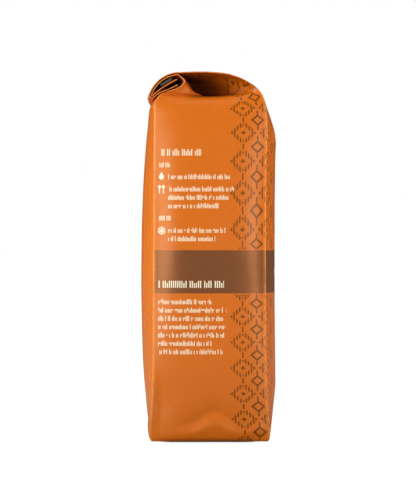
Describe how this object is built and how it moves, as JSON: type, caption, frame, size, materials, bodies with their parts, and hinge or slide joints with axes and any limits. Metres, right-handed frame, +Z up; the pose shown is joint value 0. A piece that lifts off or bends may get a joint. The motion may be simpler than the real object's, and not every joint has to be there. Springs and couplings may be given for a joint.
{
  "type": "coffee bag",
  "caption": "Filled side-gusset coffee bag of printed film, standing upright, its top folded over to the back and rolled round a flat tin tie, with open gusset pockets at both sides.",
  "frame": {"origin": "middle of the flat base, at floor level", "axes": "+Z up the standing bag, -Y out of the front panel, +Y towards the back and the rolled top, X across the front panel from one side gusset to the other"},
  "size_m": [0.0912, 0.0795, 0.2126],
  "materials": {
    "printed_film": "satin orange film with a brown band",
    "tie_coating": "dark ribbed coating over wire"
  },
  "bodies": {
    "root": {"bag": "printed_film", "tin_tie": "tie_coating"}
  },
  "joints": []
}
